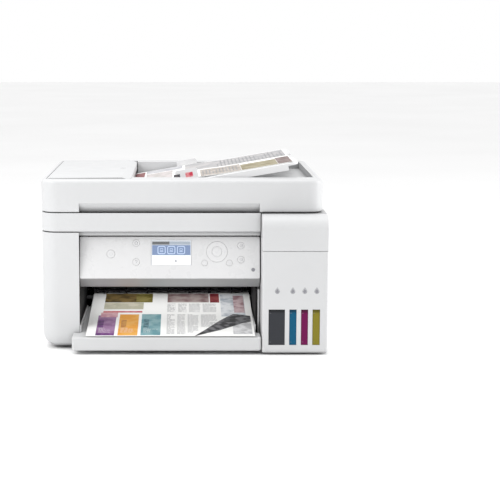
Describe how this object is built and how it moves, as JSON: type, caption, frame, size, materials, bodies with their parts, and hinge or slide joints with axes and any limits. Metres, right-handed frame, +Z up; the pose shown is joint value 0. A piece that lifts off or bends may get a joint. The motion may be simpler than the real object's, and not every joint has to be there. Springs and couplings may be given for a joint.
{
  "type": "inkjet printer",
  "caption": "White ink-tank inkjet printer, scanner and copier with a top document feeder, tilting control panel, front paper tray and refillable tanks seen through windows.",
  "frame": {"origin": "middle of the footprint's bounding box, on the table", "axes": "+X to the right seen from the front, +Y towards the back, +Z up"},
  "size_m": [0.375, 0.347, 0.2462],
  "materials": {
    "white_shell": "fine spark-textured moulding",
    "pale_tray": "satin moulding",
    "grey_bevel": "satin moulding",
    "key_white": "semi-gloss",
    "dark_bezel": "satin",
    "black_frame": "satin moulding",
    "grey_mechanism": "satin",
    "gear_plastic": "natural acetal",
    "brass_pinion": "turned",
    "steel": "rolled, zinc coated",
    "screw_steel": "turned",
    "roller_rubber": "ground",
    "belt_rubber": "moulded",
    "foot_rubber": "moulded",
    "socket_black": "satin",
    "circuit_board": "solder mask",
    "tube_clear": "clear, smoked",
    "glass": "polished float glass",
    "mat_white": "foam-backed sheet",
    "lcd": "glossy display window",
    "ink_black": "tinted clear moulding full of ink",
    "ink_cyan": "tinted clear moulding full of ink",
    "ink_magenta": "tinted clear moulding full of ink",
    "ink_yellow": "tinted clear moulding full of ink",
    "cap_black": "moulded",
    "cap_cyan": "moulded",
    "cap_magenta": "moulded",
    "cap_yellow": "moulded"
  },
  "bodies": {
    "printer": {"base_chassis": "black_frame", "black_ink_tank": "ink_black", "capping_station": "grey_mechanism", "carriage_belt": "belt_rubber", "carriage_rail": "steel", "case_screws": "screw_steel", "cyan_ink_tank": "ink_cyan", "drive_motors": "steel", "ink_tubes": "tube_clear", "magenta_ink_tank": "ink_magenta", "main_board": "circuit_board", "outer_case": "white_shell", "platen": "black_frame", "power_supply": "black_frame", "rear_connectors": "socket_black", "rubber_feet": "foot_rubber", "star_wheels": "grey_mechanism", "tank_housing": "white_shell", "yellow_ink_tank": "ink_yellow"},
    "control_panel": {"panel_housing": "grey_bevel", "panel_face": "white_shell", "lcd_screen": "lcd"},
    "scanner": {"scanner_base": "white_shell", "scanner_bezel": "dark_bezel", "scanner_glass": "glass"},
    "scan_head": {"scan_bar": "black_frame"},
    "document_cover": {"adf_base": "white_shell", "document_mat": "mat_white"},
    "feeder_cover": {"adf_cover": "white_shell"},
    "feeder_roller": {"adf_pick_roller": "roller_rubber"},
    "input_tray": {"adf_input_tray": "pale_tray"},
    "front_guide": {"adf_guide_front": "pale_tray"},
    "rear_guide": {"adf_guide_rear": "pale_tray"},
    "cassette": {"paper_cassette": "pale_tray"},
    "exit_tray": {"output_tray": "pale_tray"},
    "paper_stop": {"output_stopper": "pale_tray"},
    "line_feed_roller": {"feed_roller": "roller_rubber"},
    "paper_exit_roller": {"exit_roller": "roller_rubber"},
    "train_idler": {"idler_gear": "gear_plastic"},
    "train_pinion": {"motor_pinion": "brass_pinion"},
    "paper_pick_roller": {"pickup_roller": "roller_rubber"},
    "head_carriage": {"carriage": "black_frame", "print_head": "steel"},
    "belt_drive": {"drive_pulley": "gear_plastic"},
    "belt_idler": {"idler_pulley": "gear_plastic"},
    "back_cover": {"rear_cover": "white_shell"},
    "filler_lid": {"tank_lid": "white_shell"},
    "black_cap": {"black_tank_cap": "cap_black"},
    "cyan_cap": {"cyan_tank_cap": "cap_cyan"},
    "magenta_cap": {"magenta_tank_cap": "cap_magenta"},
    "yellow_cap": {"yellow_tank_cap": "cap_yellow"},
    "power_key_button": {"power_key": "key_white"},
    "home_key_button": {"home_key": "key_white"},
    "help_key_button": {"help_key": "key_white"},
    "nav_pad_button": {"nav_pad": "key_white"},
    "ok_key_button": {"ok_key": "key_white"},
    "back_key_button": {"back_key": "key_white"},
    "stop_key_button": {"stop_key": "key_white"},
    "start_mono_key_button": {"start_mono_key": "key_white"},
    "start_color_key_button": {"start_color_key": "key_white"}
  },
  "joints": [
    {"name": "scanner_lift", "type": "hinge", "parent": "printer", "child": "scanner", "pos_m": [0, 0.1705, 0.1574], "axis": [-1, 0, 0], "range_deg": [0, 38]},
    {"name": "scan_travel", "type": "slide", "parent": "scanner", "child": "scan_head", "axis": [1, 0, 0], "range_m": [0, 0.3]},
    {"name": "document_cover_lift", "type": "hinge", "parent": "scanner", "child": "document_cover", "pos_m": [0, 0.1705, 0.1832], "axis": [-1, 0, 0], "range_deg": [0, 75]},
    {"name": "feeder_cover_lift", "type": "hinge", "parent": "document_cover", "child": "feeder_cover", "pos_m": [-0.1765, 0, 0.2242], "axis": [0, -1, 0], "range_deg": [0, 80]},
    {"name": "feeder_roller_spin", "type": "hinge", "parent": "document_cover", "child": "feeder_roller", "pos_m": [-0.1, 0, 0.2122], "axis": [0, 1, 0], "continuous": true},
    {"name": "input_tray_tilt", "type": "hinge", "parent": "document_cover", "child": "input_tray", "pos_m": [-0.058, 0, 0.2062], "axis": [0, -1, 0], "range_deg": [0, 35]},
    {"name": "front_guide_slide", "type": "slide", "parent": "input_tray", "child": "front_guide", "axis": [0, 1, 0], "range_m": [0, 0.05]},
    {"name": "rear_guide_slide", "type": "slide", "parent": "input_tray", "child": "rear_guide", "axis": [0, -1, 0], "range_m": [0, 0.05]},
    {"name": "cassette_pull", "type": "slide", "parent": "printer", "child": "cassette", "axis": [0, -1, 0], "range_m": [0, 0.2]},
    {"name": "exit_tray_pull", "type": "slide", "parent": "cassette", "child": "exit_tray", "axis": [0, -1, 0], "range_m": [0, 0.15]},
    {"name": "paper_stop_flip", "type": "hinge", "parent": "exit_tray", "child": "paper_stop", "pos_m": [0, -0.166, 0.0216], "axis": [1, 0, 0], "range_deg": [0, 100]},
    {"name": "line_feed_spin", "type": "hinge", "parent": "printer", "child": "line_feed_roller", "pos_m": [0, 0.0885, 0.0393], "axis": [1, 0, 0], "continuous": true},
    {"name": "exit_roller_spin", "type": "hinge", "parent": "printer", "child": "paper_exit_roller", "pos_m": [0, 0.01656, 0.0423], "axis": [1, 0, 0], "continuous": true},
    {"name": "train_idler_spin", "type": "hinge", "parent": "printer", "child": "train_idler", "pos_m": [0, 0.04903, 0.04095], "axis": [1, 0, 0], "continuous": true},
    {"name": "train_pinion_spin", "type": "hinge", "parent": "printer", "child": "train_pinion", "pos_m": [0, 0.10136, 0.05957], "axis": [1, 0, 0], "continuous": true},
    {"name": "paper_pick_spin", "type": "hinge", "parent": "printer", "child": "paper_pick_roller", "pos_m": [0, 0.1205, 0.0298], "axis": [1, 0, 0], "continuous": true},
    {"name": "carriage_travel", "type": "slide", "parent": "printer", "child": "head_carriage", "axis": [-1, 0, 0], "range_m": [0, 0.235], "deforming": ["ink_tubes"]},
    {"name": "belt_drive_spin", "type": "hinge", "parent": "printer", "child": "belt_drive", "pos_m": [-0.126, 0, 0.097], "axis": [0, 1, 0], "continuous": true},
    {"name": "belt_idler_spin", "type": "hinge", "parent": "printer", "child": "belt_idler", "pos_m": [0.165, 0, 0.097], "axis": [0, 1, 0], "continuous": true},
    {"name": "back_cover_pull", "type": "slide", "parent": "printer", "child": "back_cover", "axis": [0, 1, 0], "range_m": [0, 0.06]},
    {"name": "control_panel_tilt", "type": "hinge", "parent": "printer", "child": "control_panel", "pos_m": [0, -0.1185, 0.1407], "axis": [-1, 0, 0], "range_deg": [0, 60]},
    {"name": "filler_lid_lift", "type": "hinge", "parent": "printer", "child": "filler_lid", "pos_m": [0, -0.1455, 0.1757], "axis": [-1, 0, 0], "range_deg": [0, 70]},
    {"name": "black_cap_flip", "type": "hinge", "parent": "printer", "child": "black_cap", "pos_m": [0.1206, -0.1485, 0.1415], "axis": [-1, 0, 0], "range_deg": [0, 100]},
    {"name": "cyan_cap_flip", "type": "hinge", "parent": "printer", "child": "cyan_cap", "pos_m": [0.143, -0.1485, 0.1415], "axis": [-1, 0, 0], "range_deg": [0, 100]},
    {"name": "magenta_cap_flip", "type": "hinge", "parent": "printer", "child": "magenta_cap", "pos_m": [0.1582, -0.1485, 0.1415], "axis": [-1, 0, 0], "range_deg": [0, 100]},
    {"name": "yellow_cap_flip", "type": "hinge", "parent": "printer", "child": "yellow_cap", "pos_m": [0.1747, -0.1485, 0.1415], "axis": [-1, 0, 0], "range_deg": [0, 100]},
    {"name": "power_key_press", "type": "slide", "parent": "control_panel", "child": "power_key_button", "axis": [0, 0.9781, -0.2079], "range_m": [0, 0.0007], "stiffness_N_per_m": 1500},
    {"name": "home_key_press", "type": "slide", "parent": "control_panel", "child": "home_key_button", "axis": [0, 0.9781, -0.2079], "range_m": [0, 0.0007], "stiffness_N_per_m": 1500},
    {"name": "help_key_press", "type": "slide", "parent": "control_panel", "child": "help_key_button", "axis": [0, 0.9781, -0.2079], "range_m": [0, 0.0007], "stiffness_N_per_m": 1500},
    {"name": "nav_pad_press", "type": "slide", "parent": "control_panel", "child": "nav_pad_button", "axis": [0, 0.9781, -0.2079], "range_m": [0, 0.0007], "stiffness_N_per_m": 1500},
    {"name": "ok_key_press", "type": "slide", "parent": "control_panel", "child": "ok_key_button", "axis": [0, 0.9781, -0.2079], "range_m": [0, 0.0007], "stiffness_N_per_m": 1500},
    {"name": "back_key_press", "type": "slide", "parent": "control_panel", "child": "back_key_button", "axis": [0, 0.9781, -0.2079], "range_m": [0, 0.0007], "stiffness_N_per_m": 1500},
    {"name": "stop_key_press", "type": "slide", "parent": "control_panel", "child": "stop_key_button", "axis": [0, 0.9781, -0.2079], "range_m": [0, 0.0007], "stiffness_N_per_m": 1500},
    {"name": "start_mono_key_press", "type": "slide", "parent": "control_panel", "child": "start_mono_key_button", "axis": [0, 0.9781, -0.2079], "range_m": [0, 0.0007], "stiffness_N_per_m": 1500},
    {"name": "start_color_key_press", "type": "slide", "parent": "control_panel", "child": "start_color_key_button", "axis": [0, 0.9781, -0.2079], "range_m": [0, 0.0007], "stiffness_N_per_m": 1500}
  ],
  "couplings": [
    {"joint": "exit_roller_spin", "follows": "line_feed_spin", "ratio": 1.6364},
    {"joint": "train_idler_spin", "follows": "line_feed_spin", "ratio": -0.83721},
    {"joint": "train_pinion_spin", "follows": "line_feed_spin", "ratio": -3},
    {"joint": "belt_drive_spin", "follows": "carriage_travel", "rad_per_m": 147.06},
    {"joint": "belt_idler_spin", "follows": "carriage_travel", "rad_per_m": 147.06},
    {"joint": "rear_guide_slide", "follows": "front_guide_slide", "ratio": 1}
  ]
}
